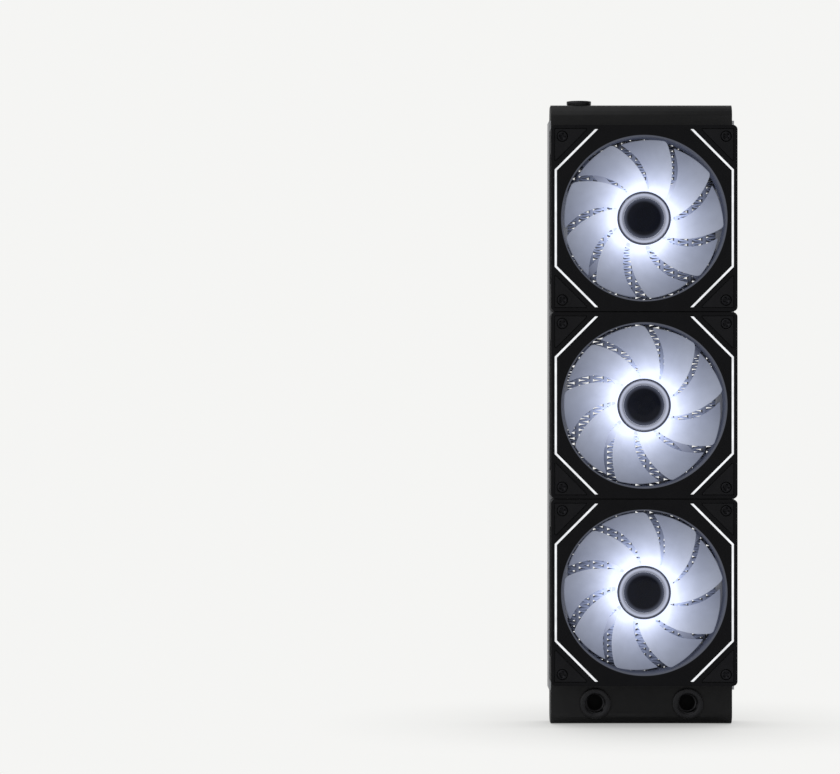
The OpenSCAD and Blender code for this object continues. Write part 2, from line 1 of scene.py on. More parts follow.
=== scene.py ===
# The looks of a liquid cooling radiator with three lit fans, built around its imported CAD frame.
# Lengths are millimetres, unless a comment says metres. Blender takes metres, so they are
# multiplied by MM where they are handed over.

import math

import bpy
from mathutils import Matrix, Vector


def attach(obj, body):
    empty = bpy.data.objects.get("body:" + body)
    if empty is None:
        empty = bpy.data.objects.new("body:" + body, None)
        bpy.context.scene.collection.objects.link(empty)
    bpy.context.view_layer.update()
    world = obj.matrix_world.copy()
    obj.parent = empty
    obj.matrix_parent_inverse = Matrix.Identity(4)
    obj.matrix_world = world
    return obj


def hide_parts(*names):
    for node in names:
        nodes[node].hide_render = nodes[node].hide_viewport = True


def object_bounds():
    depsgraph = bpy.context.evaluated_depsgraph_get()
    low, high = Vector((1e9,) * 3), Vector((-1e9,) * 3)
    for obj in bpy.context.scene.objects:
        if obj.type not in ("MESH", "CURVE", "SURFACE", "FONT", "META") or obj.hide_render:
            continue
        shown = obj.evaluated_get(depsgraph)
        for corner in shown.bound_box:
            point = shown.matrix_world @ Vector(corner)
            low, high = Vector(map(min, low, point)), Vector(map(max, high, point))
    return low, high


MM = 0.001
TAU = 2 * math.pi

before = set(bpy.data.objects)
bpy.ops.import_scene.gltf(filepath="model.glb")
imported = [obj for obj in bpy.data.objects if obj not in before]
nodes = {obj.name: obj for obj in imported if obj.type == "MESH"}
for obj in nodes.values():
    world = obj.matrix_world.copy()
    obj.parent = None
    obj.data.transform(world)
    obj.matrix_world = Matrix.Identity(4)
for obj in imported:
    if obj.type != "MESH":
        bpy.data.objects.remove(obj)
cad_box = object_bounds()


# ---- Driving sizes, as in the CAD ----

FAN_PITCH = 120
FAN_DEPTH = 25
FAN_BACK_Y = -27
FAN_FRONT_Y = FAN_BACK_Y - FAN_DEPTH
SCREW_SPAN = 105
DUCT_R = 52.4

# Each fan's name, the height of its axis and how far its impeller is turned at rest, in degrees
FANS = [
    ("upper_fan", FAN_PITCH, -20),
    ("middle_fan", 0, -3.5),
    ("lower_fan", -FAN_PITCH, -4.5),
]

# In a fan's own frame, Z is its axis and runs from its back, at 0, to its front, at FAN_DEPTH
BLADE_COUNT = 9
TIP_R = 51.4
ROOT_R = 16.5
BLADE_BACK = 6.3
BLADE_RISE = 15.1
HUB_R = 17.2
HUB_BACK = 5.5
HUB_FRONT = 23.5

# The hub's front is a recess inside a lip, and holds the ring, which has a painted glow, and the
# mirror disc
LIP_R = 16.2
RECESS_Z = 21.7
SEAT_Z = RECESS_Z + 0.05
RING_OUT = LIP_R - 0.06
RING_IN = 13.06
MIRROR_R = 12.98


# ---- Shader building ----

# Nearly all of a noise texture lies between these
NOISE_LOW, NOISE_HIGH = 0.3, 0.7

# How far across the patches of lighter colour are, and the patches of higher gloss
CLOUD_SIZE = 14
PATCH_SIZE = 5

# How far a material's roughness goes up and down
GLOSS_SPREAD = 0.07


class Nodes:
    """A node tree, with short ways to add and link its nodes."""

    def __init__(self, tree):
        self.tree = tree
        self.tree.nodes.clear()

    def feed(self, target, value):
        """Gives a socket a value, or a link from another socket."""
        if isinstance(value, bpy.types.NodeSocket):
            self.tree.links.new(value, target)
        elif isinstance(value, tuple) and len(value) == 3 and target.type == "RGBA":
            target.default_value = (*value, 1)
        else:
            target.default_value = value

    def node(self, kind, inputs=(), **settings):
        """A new node; inputs pairs each socket's index or name with a value or another socket."""
        made = self.tree.nodes.new(kind)
        for setting, value in settings.items():
            setattr(made, setting, value)
        for socket, value in dict(inputs).items():
            self.feed(made.inputs[socket], value)
        return made

    def math(self, operation, *values):
        return self.node("ShaderNodeMath", enumerate(values), operation=operation).outputs[0]

    def product(self, first, *others):
        for other in others:
            first = self.math("MULTIPLY", first, other)
        return first

    def vector_math(self, operation, *values):
        return self.node("ShaderNodeVectorMath", enumerate(values), operation=operation).outputs

    def remap(self, value, low, high, start, end, smooth=False):
        """Carries the range from low to high over to the one from start to end, and clamps."""
        inputs = enumerate([value, low, high, start, end])
        kind = "SMOOTHSTEP" if smooth else "LINEAR"
        return self.node("ShaderNodeMapRange", inputs, interpolation_type=kind).outputs[0]

    def mix(self, factor, first, second):
        """A mix of two colours, which are a Mix node's inputs 6 and 7 and its output 2."""
        inputs = {0: factor, 6: first, 7: second}
        return self.node("ShaderNodeMix", inputs, data_type="RGBA").outputs[2]

    def two_way(self, light, picture):
        """A shader that lights the part with light and shows picture to the camera."""
        seen = self.node("ShaderNodeLightPath").outputs["Is Camera Ray"]
        return self.node("ShaderNodeMixShader", {0: seen, 1: light, 2: picture}).outputs[0]


class Shader(Nodes):
    """A material around one Principled shader. Its place is the surface point."""

    def __init__(self, name, **sockets):
        self.material = bpy.data.materials.new(name)
        self.material.use_nodes = True
        super().__init__(self.material.node_tree)
        self.bsdf = self.node("ShaderNodeBsdfPrincipled")
        self.output = self.node("ShaderNodeOutputMaterial", {0: self.bsdf.outputs[0]})
        for socket, value in sockets.items():
            self.set(socket.replace("_", " "), value)
        metres = self.node("ShaderNodeTexCoord").outputs["Object"]
        self.place = self.scaled(metres, (1 / MM, 1 / MM, 1 / MM))

    def set(self, socket, value):
        """Gives one of the Principled shader's sockets a value or a link."""
        self.feed(self.bsdf.inputs[socket], value)

    def emit(self, colour, strength):
        self.set("Emission Color", colour)
        self.set("Emission Strength", strength)

    def scaled(self, vector, factors):
        return self.vector_math("MULTIPLY", vector, factors)[0]

    def length(self, vector):
        return self.vector_math("LENGTH", vector)["Value"]

    def split(self):
        """The x, y and z of the surface point."""
        return self.node("ShaderNodeSeparateXYZ", [(0, self.place)]).outputs

    def noise(self, size, detail=2.0, stretch=(1, 1, 1)):
        """Noise whose blotches are about that size across, divided by stretch."""
        vector = self.scaled(self.place, stretch)
        inputs = {"Vector": vector, "Scale": 1 / size, "Detail": detail}
        return self.node("ShaderNodeTexNoise", inputs).outputs[0]

    def bump(self, height, depth):
        """Adds bumps of that depth, from heights between 0 and 1."""
        inputs = {"Height": height, "Distance": depth * MM, "Strength": 1.0}
        before = self.bsdf.inputs["Normal"]
        if before.is_linked:
            inputs["Normal"] = before.links[0].from_socket
        self.set("Normal", self.node("ShaderNodeBump", inputs).outputs[0])


def surface(name, colour, rough, grain, depth, spread=0.12, stretch=(1, 1, 1), **sockets):
    """A material with cloudy colour, uneven gloss, and bumps as wide as grain."""
    made = Shader(name, **sockets)
    cloud = made.remap(made.noise(CLOUD_SIZE, 3.0), NOISE_LOW, NOISE_HIGH, 0.0, 1.0)
    low = tuple(c * (1 - spread) for c in colour)
    high = tuple(c * (1 + spread) for c in colour)
    made.set("Base Color", made.mix(cloud, low, high))
    fine = made.noise(grain, stretch=stretch)
    patch = made.math("ADD", fine, made.noise(PATCH_SIZE))
    smoothest, roughest = max(rough - GLOSS_SPREAD, 0.02), min(rough + GLOSS_SPREAD, 1.0)
    made.set(
        "Roughness",
        made.remap(patch, 2 * NOISE_LOW, 2 * NOISE_HIGH, smoothest, roughest),
    )
    made.bump(fine, depth)
    return made


def radius_from_axis(made):
    """Distance from the local Z axis, on a piece made in a fan's own frame."""
    return made.length(made.scaled(made.place, (1, 1, 0)))


def radius_from_fan(made):
    """Distance from the nearest fan's axis, on a piece in the row frame."""
    x, y, z = made.split()
    folded = made.math("WRAP", z, FAN_PITCH / 2, -FAN_PITCH / 2)
    across = made.node("ShaderNodeCombineXYZ", [(0, x), (1, 0.0), (2, folded)])
    return made.length(across.outputs[0])


def fan_glow(made, back, front):
    """How strong a painted glow is, standing for the light the fans throw on what lies behind
    their blades. It fades away from their axes, at the duct walls, and from the y called front to
    the one called back."""
    full_r, fall_off, brightest = 24.5, 3.2, 1.2
    out = radius_from_fan(made)
    near = made.math("POWER", made.math("DIVIDE", full_r, out), fall_off)
    inside = made.remap(out, DUCT_R - 5.4, DUCT_R - 0.9, 0.75, 0.0)
    deep = made.remap(made.split()[1], back, front, 0.0, 1.0)
    return made.product(made.math("MINIMUM", near, brightest), inside, deep)


def band(made, value, start, end, soft):
    """1 where value lies between start and end, and 0 outside."""
    rise = made.remap(value, start - soft, start + soft, 0.0, 1.0, True)
    fall = made.remap(value, end - soft, end + soft, 1.0, 0.0, True)
    return made.product(rise, fall)


def striped(made, step, depth):
    """Adds even ridges from front to back, such as stacked sheets or wound wire."""
    # A wave texture has 20 / TAU bands in each unit of length
    wave = made.node(
        "ShaderNodeTexWave",
        {"Vector": made.place, "Scale": TAU / 20 / step, "Distortion": 0.0},
        wave_type="BANDS",
        bands_direction="Y",
        wave_profile="SIN",
    )
    made.bump(wave.outputs[1], depth)


# ---- Mesh building ----

TURN_STEPS = 128  # Points in each circle of a turned piece


class Solid:
    """Points, kept in metres, and faces that are gathered into one mesh."""

    def __init__(self):
        self.points = []
        self.faces = []
        self.finishes = []

    def skin(self, loops, finish=0, closed=False, place=None):
        """Faces between neighbouring loops of points. A loop of one point is a tip, and open
        ends are capped. The finish is one material's index or a function of the row."""
        tone = finish if callable(finish) else lambda row: finish
        starts = []
        for loop in loops:
            starts.append(len(self.points))
            for point in loop:
                metres = [c * MM for c in point]
                self.points.append(tuple(place @ Vector(metres)) if place else metres)
        rows = range(len(loops) if closed else len(loops) - 1)
        for row in rows:
            after = (row + 1) % len(loops)
            self.bridge(
                starts[row], len(loops[row]), starts[after], len(loops[after]), tone(row)
            )
        if not closed:
            if len(loops[0]) > 2:
                self.add_face([starts[0] + k for k in range(len(loops[0]))][::-1], tone(0))
            if len(loops[-1]) > 2:
                self.add_face([starts[-1] + k for k in range(len(loops[-1]))], tone(0))

    def bridge(self, a, size_a, b, size_b, finish):
        """One row of faces, from the loop that starts at point a to the one at point b."""
        size = max(size_a, size_b)
        for k in range(size):
            j = (k + 1) % size
            if size_a == 1:
                self.add_face([a, b + j, b + k], finish)
            elif size_b == 1:
                self.add_face([a + k, a + j, b], finish)
            else:
                self.add_face([a + k, a + j, b + j, b + k], finish)

    def add_face(self, corners, finish):
        self.faces.append(corners)
        self.finishes.append(finish)

    def build(self, name, shaders, sharp=35):
        """The mesh, with edges kept sharp above that angle, in degrees."""
        mesh = bpy.data.meshes.new(name)
        mesh.from_pydata(self.points, [], self.faces)
        for made in shaders:
            mesh.materials.append(made.material)
        mesh.polygons.foreach_set("material_index", self.finishes)
        mesh.polygons.foreach_set("use_smooth", [True] * len(self.faces))
        mesh.set_sharp_from_angle(angle=math.radians(sharp))
        mesh.update()
        return mesh


def add_piece(name, mesh, body, replaces, matrix=None):
    piece = bpy.data.objects.new(name, mesh)
    bpy.context.scene.collection.objects.link(piece)
    if matrix:
        piece.matrix_world = matrix
    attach(piece, body)
    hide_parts(*replaces)


def circle(r, z, steps):
    """A loop about the Z axis, or its one point if r is 0."""
    if r == 0:
        return [(0, 0, z)]
    return [
        (r * math.cos(TAU * k / steps), r * math.sin(TAU * k / steps), z)
        for k in range(steps)
    ]


def turned(solid, profile, finish=0, closed=False):
    """Turns a profile of (r, z) about Z; it runs from low to high on the outside."""
    solid.skin([circle(r, z, TURN_STEPS) for r, z in profile], finish, closed)


def facing_front(x, y, z):
    """The matrix that moves a piece made along Z to that place, and turns it to the front."""
    move = Matrix.Translation((x * MM, y * MM, z * MM))
    return move @ Matrix.Rotation(math.radians(90), 4, "X")


# ---- Materials of the fans ----


def blade_surface():
    """Frosted. The light of the hub's leds through it is painted on as a glow that fades
    outwards, with painted shade towards its back edge.
    """
    made = surface(
        "frosted_blade", (0.17, 0.19, 0.24), 0.42, grain=0.5, depth=0.004, spread=0.04
    )
    full_r, fall_off, level, brightest = 26, 2.1, 0.73, 0.95
    near = made.math("DIVIDE", full_r, radius_from_axis(made))
    fade = made.math("POWER", near, fall_off)
    cloudy = made.remap(made.noise(9), NOISE_LOW, NOISE_HIGH, 0.94, 1.06)
    z = made.split()[2]
    # Painted shade: the glow is dimmed towards the blade's back edge and raised a little at its
    # front edge.
    ahead = made.remap(z, BLADE_BACK, BLADE_BACK + BLADE_RISE, 0.78, 1.06)
    glow = made.product(fade, cloudy, level, ahead)
    made.emit((0.88, 0.95, 1.2), made.math("MINIMUM", glow, brightest))
    return made


def lip_surface():
    made = surface("hub_lip", (0.03, 0.035, 0.05), 0.3, grain=0.3, depth=0.003)
    # A faint painted glow of the hub's leds on the dark lip.
    made.emit((0.55, 0.62, 1.0), 0.05)
    return made


def ring_surface():
    """A painted glow, brightest along a circle near its outer edge."""
    made = surface(
        "hub_ring_painted_glow", (0.24, 0.25, 0.3), 0.35, grain=0.4, depth=0.004, spread=0.05
    )
    out = radius_from_axis(made)
    rise = made.remap(out, RING_IN + 0.04, 15.2, 0.1, 0.42, True)
    fall = made.remap(out, 15.4, RING_OUT - 0.04, 1.0, 0.15, True)
    made.emit((0.86, 0.93, 1.2), made.product(rise, fall))
    return made


def mirror_surface():
    """Dark, with a faint painted glow next to the ring."""
    made = surface(
        "hub_dark_mirror", (0.004, 0.006, 0.016), 0.1, grain=3, depth=0.001, spread=0.3,
        Specular_IOR_Level=0.28,
    )
    out = radius_from_axis(made)
    # Painted glow: faint light towards the disc's edge, next to the ring.
    made.emit((0.7, 0.78, 1.1), made.remap(out, 10, MIRROR_R, 0.0, 0.09, True))
    return made


def guide_surface():
    made = surface("lit_guide", (0.3, 0.3, 0.3), 0.4, grain=0.6, depth=0.002)
    glow = made.remap(made.noise(6, 1.0), NOISE_LOW, NOISE_HIGH, 0.7, 0.88)
    made.emit((0.95, 0.97, 1.0), glow)
    return made


def frame_surface():
    """Moulded black plastic, one colour all over, with light painted on: the air duct's walls are
    painted lighter, as the blades light them up, the duct's rim and the struts behind the blades
    get a painted glow, and faces behind the front face are painted a lighter black than the front
    face.
    """
    made = surface(
        "frame_plastic", (0.006, 0.006, 0.0075), 0.6, grain=0.35, depth=0.02,
        Specular_IOR_Level=0.16,
    )
    out = radius_from_fan(made)
    y = made.split()[1]
    front = made.bsdf.inputs["Base Color"].links[0].from_socket
    # Painted light and shade: the plastic is one black, but faces behind the front face get a
    # lighter black than the front face.
    painted_side_light = made.remap(y, FAN_FRONT_Y + 0.2, FAN_FRONT_Y + 0.8, 0.0, 1.0)
    outside = made.mix(painted_side_light, front, (0.03, 0.03, 0.033))
    # Painted light: the duct's walls get a pale bluish colour, standing for the blades' light on
    # the black plastic.
    inside = made.remap(out, DUCT_R - 0.2, DUCT_R + 0.1, 1.0, 0.0)
    made.set("Base Color", made.mix(inside, outside, (0.26, 0.28, 0.35)))
    # Painted glow on the duct's rim and on the struts behind the blades, standing for the blades'
    # light.
    rim = band(made, out, DUCT_R + 0.05, DUCT_R + 0.9, 0.1)
    strut_painted_glow = fan_glow(made, back=FAN_BACK_Y - 0.5, front=FAN_BACK_Y - 2.5)
    made.emit((0.8, 0.86, 1.1), made.math("ADD", made.product(rim, 0.09), strut_painted_glow))
    return made


def strip_surface():
    made = surface("led_strip", (0.8, 0.82, 0.86), 0.5, grain=1.5, depth=0.01)
    made.emit((0.93, 0.96, 1.0), 2.0)
    return made


def board_surface():
    """A circuit board, whose leds glow along its outer edge."""
    made = surface("circuit_board", (0.02, 0.04, 0.03), 0.4, grain=0.8, depth=0.01)
    glow = made.remap(radius_from_fan(made), HUB_R - 1, HUB_R, 0.0, 0.8, True)
    made.emit((0.88, 0.95, 1.1), glow)
    return made


blade_look = blade_surface()
lip_look = lip_surface()
ring_look = ring_surface()
mirror_look = mirror_surface()
guide_look = guide_surface()
frame_look = frame_surface()
pad_look = surface(
    "pad_rubber", (0.011, 0.011, 0.013), 0.7, grain=0.5, depth=0.02, Specular_IOR_Level=0.2
)
screw_look = surface(
    "black_screw", (0.018, 0.018, 0.021), 0.36, grain=0.3, depth=0.006, Metallic=0.8
)
label_look = surface(
    "blank_label", (0.3, 0.3, 0.31), 0.4, grain=0.5, depth=0.003, stretch=(1, 1, 12),
    Metallic=0.7,
)
socket_look = surface("socket_plastic", (0.02, 0.02, 0.021), 0.5, grain=0.3, depth=0.01)
pin_look = surface(
    "pin_gold", (0.8, 0.64, 0.32), 0.25, grain=0.3, depth=0.002, Metallic=1.0
)
strip_look = strip_surface()

# Motor pieces, which show when a fan is taken apart
yoke_look = surface(
    "yoke_steel", (0.58, 0.59, 0.61), 0.35, grain=0.6, depth=0.004, stretch=(1, 14, 1),
    Metallic=1.0,
)
magnet_look = surface("magnet", (0.06, 0.057, 0.057), 0.75, grain=0.25, depth=0.02)
shaft_look = surface(
    "shaft_steel", (0.78, 0.79, 0.8), 0.15, grain=0.3, depth=0.002, stretch=(1, 10, 1),
    Metallic=1.0,
)
clip_look = surface("clip_nylon", (0.8, 0.79, 0.74), 0.5, grain=0.3, depth=0.005)
bronze_look = surface(
    "bearing_bronze", (0.62, 0.42, 0.22), 0.45, grain=0.15, depth=0.015, Metallic=1.0
)
core_look = surface(
    "lamination_steel", (0.42, 0.43, 0.45), 0.45, grain=0.3, depth=0.004, Metallic=0.9
)
insulator_look = surface(
    "insulator_plastic", (0.8, 0.79, 0.74), 0.5, grain=0.3, depth=0.006
)
board_look = board_surface()
wire_look = surface(
    "copper_wire", (0.68, 0.3, 0.12), 0.25, grain=0.3, depth=0.004, Metallic=0.9
)
striped(core_look, 0.5, 0.06)
striped(wire_look, 0.35, 0.1)


# ---- Materials of the radiator ----

paint_look = surface(
    "radiator_paint", (0.014, 0.014, 0.015), 0.5, grain=0.45, depth=0.035,
    Specular_IOR_Level=0.35,
)
fin_look = surface(
    "fin_aluminium", (0.3, 0.32, 0.37), 0.4, grain=0.5, depth=0.01, Metallic=0.2
)
tube_look = surface("tube_aluminium", (0.1, 0.105, 0.12), 0.45, grain=0.5, depth=0.02)
# Painted glow on the fins and tubes behind the blades, standing for the fans' light falling on
# them.
for painted_glow_look in (fin_look, tube_look):
    painted_glow_look.emit((0.74, 0.85, 1.25), fan_glow(painted_glow_look, back=-12, front=-22))
bare_look = surface(
    "bare_aluminium", (0.56, 0.57, 0.59), 0.36, grain=0.8, depth=0.005, spread=0.02,
    stretch=(5, 5, 0.2), Metallic=1.0,
)
port_look = surface(
    "port_metal", (0.04, 0.04, 0.043), 0.28, grain=0.5, depth=0.004, Metallic=0.85
)
seal_look = surface("seal_rubber", (0.015, 0.015, 0.015), 0.6, grain=0.3, depth=0.01)


# ---- Impellers, with their rings, which have a painted glow, and mirror discs ----

SWEEP = 33  # Degrees by which a blade's root trails its tip
CAMBER = 0.1  # How far a blade is curved, as a share of its rise

# The gap between neighbouring blades, at their tips and at their roots
TIP_GAP = 6.6
ROOT_GAP = 1.5

# Half of a blade's thickness, in its middle and at its edges
HALF_MIDDLE = 0.8
HALF_EDGE = 0.44

# Next to the hub each side thickens by FLARE, which dies away over about FLARE_REACH
FLARE = 0.7
FLARE_REACH = 0.8

# The tip's corners are rounded, and from CUT_FROM on the leading edge is cut back
LEAD_CORNER = 1.0
TRAIL_CORNER = 1.8
CUT_BACK = 1.1
CUT_FROM = 40

# The last TIP_ROUND of a blade gets thinner along a quarter circle, down to this share
TIP_ROUND = 0.6
THINNEST = 0.12

CHORD_STEPS = 18
EDGE_STEPS = 6


def corner_inset(r, radius):
    """How far a rounded corner at the tip moves the edge in, at radius r."""
    out = max(r - (TIP_R - radius), 0)
    return radius - math.sqrt(max(radius**2 - out**2, 0))


def blade_loop(r, thin):
    """One section of a blade at radius r, as points round its outline. u runs from 0 at the
    leading edge, at the back, to 1 at the trailing edge, and thin scales the thickness."""
    inset = (TIP_R - r) / (TIP_R - ROOT_R)
    gap = (TIP_GAP - (TIP_GAP - ROOT_GAP) * inset**2) / r
    lead = math.radians(90 - SWEEP * inset) - gap / 2
    chord = TAU / BLADE_COUNT - gap
    run = r * chord
    width = math.hypot(run, BLADE_RISE)
    start = (corner_inset(r, LEAD_CORNER) + HALF_EDGE * thin) / width
    end = 1 - (corner_inset(r, TRAIL_CORNER) + HALF_EDGE * thin) / width
    flare = FLARE * math.exp(-max(r - HUB_R, 0) / FLARE_REACH)
    cut = CUT_BACK * max(r - CUT_FROM, 0) / (TIP_R - CUT_FROM)

    def point(u, turn):
        """A point off the middle surface at u, in the direction that turn gives."""
        rise = BLADE_RISE * (1 - CAMBER * math.pi * math.cos(math.pi * u))
        slope = math.hypot(run, rise)
        bulge = math.sin(math.pi * u)
        half = (HALF_EDGE + (HALF_MIDDLE - HALF_EDGE) * bulge + flare) * thin
        across, ahead = half * math.cos(turn), half * math.sin(turn)
        arc = (across * rise - ahead * run) / slope
        z = BLADE_BACK + BLADE_RISE * (u - CAMBER * bulge)
        z += (across * run + ahead * rise) / slope
        angle = lead - u * chord + arc / r
        far = r - cut * (1 - u)
        return (far * math.cos(angle), far * math.sin(angle), min(z, HUB_FRONT - 0.1))

    shares = [k / CHORD_STEPS for k in range(CHORD_STEPS + 1)]
    turns = [math.pi * k / EDGE_STEPS for k in range(1, EDGE_STEPS)]
    loop = [point(start + (end - start) * share, 0) for share in shares]
    loop += [point(end, turn) for turn in turns]
    loop += [point(end + (start - end) * share, math.pi) for share in shares]
    loop += [point(start, math.pi + turn) for turn in turns]
    return loop


def blade_radii():
    """Where a blade's sections lie: close together at its flared foot and its rounded tip."""
    foot = [ROOT_R, 16.9, 17.2, 17.5, 17.9, 18.5, 19.3]
    middle = [20.5 + (48.2 - 20.5) * k / 19 for k in range(20)]
    tip = [48.9, 49.5, 50, 50.4, 50.7, 50.95, 51.15, 51.3, 51.38]
    return foot + middle + tip


def add_hub(solid):
    """The cup that holds the motor, with a boss for the shaft, and a lip round its front."""
    shaft_r, boss_r, boss_back, shaft_end = 1.5, 3.2, 17.2, 21.4
    yoke_r, ceiling, ease = 15.85, 20.2, 0.2
    cup = [(0, shaft_end), (shaft_r, shaft_end), (shaft_r, boss_back), (boss_r, boss_back)]
    cup += [(boss_r, ceiling), (yoke_r, ceiling), (yoke_r, HUB_BACK)]
    cup += [(HUB_R - ease, HUB_BACK), (HUB_R, HUB_BACK + ease)]
    lip = [(HUB_R, RECESS_Z + 0.1), (HUB_R, HUB_FRONT - ease), (HUB_R - ease, HUB_FRONT)]
    lip += [(LIP_R + ease, HUB_FRONT), (LIP_R, HUB_FRONT - 0.3), (LIP_R, RECESS_Z)]
    lip_rows = range(len(cup), len(cup) + len(lip) - 1)
    turned(solid, cup + lip + [(0, RECESS_Z)], lambda row: int(row in lip_rows))


def impeller_mesh(rest_turn):
    solid = Solid()
    loops = []
    for r in blade_radii():
        over = max(r - (TIP_R - TIP_ROUND), 0) / TIP_ROUND
        thin = math.sqrt(1 - min(over, 1) ** 2)
        loops.append(blade_loop(r, max(thin, THINNEST)))
    for k in range(BLADE_COUNT):
        turn = math.radians(rest_turn) + TAU * k / BLADE_COUNT
        solid.skin(loops, place=Matrix.Rotation(turn, 4, "Z"))
    add_hub(solid)
    return solid.build("impeller", [blade_look, lip_look], sharp=50)


def hub_ring_mesh():
    """Domed towards its outer edge, which is eased."""
    solid = Solid()
    top = 23.27
    profile = [(RING_IN, SEAT_Z), (RING_OUT, SEAT_Z), (RING_OUT, top - 0.27)]
    profile += [(RING_OUT - 0.19, top), (14.6, top), (13.9, top - 0.17)]
    profile += [(RING_IN + 0.29, top - 0.37), (RING_IN, top - 0.67)]
    turned(solid, profile, closed=True)
    return solid.build("hub_ring", [ring_look])


def hub_mirror_mesh():
    solid = Solid()
    top = 22.7
    profile = [(0, SEAT_Z), (MIRROR_R, SEAT_Z), (MIRROR_R, top - 0.2)]
    profile += [(MIRROR_R - 0.13, top - 0.04), (MIRROR_R - 0.38, top), (6, top), (0, top)]
    turned(solid, profile)
    return solid.build("hub_mirror", [mirror_look])


hub_ring = hub_ring_mesh()
hub_mirror = hub_mirror_mesh()
for fan, height, rest_turn in FANS:
    place = facing_front(0, FAN_BACK_Y, height)
    rotor = fan + "_rotor"
    impeller = impeller_mesh(rest_turn)
    add_piece(
        fan + "_blades", impeller, rotor, [fan + "_impeller"], place
    )
    # The ring, whose glow is painted on
    add_piece(
        fan + "_painted_glow_ring", hub_ring, rotor, [fan + "_hub_ring"], place
    )
    add_piece(
        fan + "_mirror_disc", hub_mirror, rotor, [fan + "_hub_mirror"], place
    )


# ---- Screws ----

# A thread has this many loops in each pitch. Its depth follows a slanted line that is clipped,
# so it is flat for a short way at the crest and at the root.
THREAD_ROWS = 6
THREAD_SLANT = 2.6
THREAD_CLIP = 0.15


def thread_loops(r, z_low, z_high, pitch, cut, steps):
    """Loops of a threaded bar or bore: the radius dips by cut once each pitch along a helix."""
    count = int((z_high - z_low) / pitch * THREAD_ROWS)
    loops = []
    for row in range(count + 1):
        z = z_low + (z_high - z_low) * row / count
        loop = []
        for k in range(steps):
            phase = (z / pitch - k / steps) % 1
            depth = cut * min(1, max(0, THREAD_SLANT * abs(phase - 0.5) - THREAD_CLIP))
            a = TAU * k / steps
            loop.append(((r - depth) * math.cos(a), (r - depth) * math.sin(a), z))
        loops.append(loop)
    return loops


def recess(x, y):
    """How deep the screw's driving recess, a cross with a cone, is at a point of its head."""
    depth, cone_r = 1.0, 2.1
    wing_half, wing_reach = 0.55, 2.15
    side_slope, end_slope = 0.15, 0.3
    wings = 0.0
    for along, beside in ((x, y), (y, x)):
        inner = min(1, max(0, (wing_half - abs(beside)) / side_slope))
        outer = min(1, max(0, (wing_reach - abs(along)) / end_slope))
        wings = max(wings, inner * outer)
    return depth * max(0.0, 1 - math.hypot(x, y) / cone_r, wings)


def screw_loops():
    """One screw, in its fan's own frame, from its tip in the rail to the middle of its head."""
    steps, rings = 48, 18
    shaft_r, head_r, head_z, face_r = 1.5, 3.3, 23.2, 2.7
    tip_z, thread_end, thread_pitch, thread_cut = -3.2, 3, 0.5, 0.25
    shaft = thread_loops(shaft_r, tip_z, thread_end, thread_pitch, thread_cut, steps)
    profile = [(shaft_r, head_z), (head_r - 0.2, head_z), (head_r, head_z + 0.2)]
    profile += [(head_r, head_z + 1), (head_r - 0.1, head_z + 1.4), (2.95, FAN_DEPTH - 0.12)]
    head = [circle(r, z, steps) for r, z in profile]
    face = []
    for row in range(rings + 1):
        points = circle(face_r * (rings - row) / rings, FAN_DEPTH - 0.02, steps)
        face.append([(x, y, z - recess(x, y)) for x, y, z in points])
    return shaft + head + face


def screw_set_mesh():
    """Four screws in each fan, each stopped at a turn of its own."""
    solid = Solid()
    loops = screw_loops()
    for _, height, _ in FANS:
        for sx, sy in ((-1, -1), (1, -1), (1, 1), (-1, 1)):
            spin = math.radians(17 + 31 * (sx + 2 * sy) + height)
            spot = Matrix.Translation((sx * SCREW_SPAN / 2 * MM, sy * SCREW_SPAN / 2 * MM, 0))
            place = facing_front(0, FAN_BACK_Y, height) @ spot
            solid.skin(loops, place=place @ Matrix.Rotation(spin, 4, "Z"))
    return solid.build("fan_screws", [screw_look], sharp=30)


add_piece("fan_screw_set", screw_set_mesh(), "radiator", ["fan_screws"])


# ---- Fins ----

CORE_WIDTH = 117.6
TUBE_COUNT = 12
TUBE_THICK = 2.0
TUBE_STEP = (CORE_WIDTH + TUBE_THICK) / (TUBE_COUNT + 1)
STRIP_WIDTH = TUBE_STEP - TUBE_THICK - 0.1
FOIL = 0.2
FOLD_PITCH = 3.6
FOLD_COUNT = 98

# From front to back, the foil rises and falls in four slants. CHEVRON has the y of their ends
# and how far each end is lifted.
CORE_FRONT_Y = -22.5
SLANT = 4.5
LIFT = 0.6
CHEVRON = [(CORE_FRONT_Y + SLANT * k, LIFT if k % 2 else -LIFT) for k in range(5)]


def fold_line():
    """The middle line of a folded strip, as (across, up). It runs from one side to the other
    and back, with two points where each run bends."""
    limit, rise, ease = STRIP_WIDTH / 2, FOLD_PITCH / 2, 0.11
    line = []
    for k in range(2 * FOLD_COUNT):
        side = 1 if k % 2 else -1
        base = (k - FOLD_COUNT) * rise
        line.append((side * limit, base))
        for share in (1 / 3, 2 / 3):
            across = -side * (limit - ease) * math.sin((share - 0.5) * math.pi)
            line.append((across, base + rise * (0.2 + 0.6 * share)))
    line.append((-limit, FOLD_COUNT * rise))
    return line


def foil_sides(line):
    """For each point of the line, one point on either side of the foil, kept off the tubes."""
    limit = STRIP_WIDTH / 2
    sides = []
    for n, (x, z) in enumerate(line):
        before = line[max(n - 1, 0)]
        after = line[min(n + 1, len(line) - 1)]
        dx, dz = after[0] - before[0], after[1] - before[1]
        half = FOIL / 2 / math.hypot(dx, dz)
        pair = [(x + side * dz * half, z - side * dx * half) for side in (1, -1)]
        sides.append([(max(-limit, min(limit, px)), pz) for px, pz in pair])
    return sides


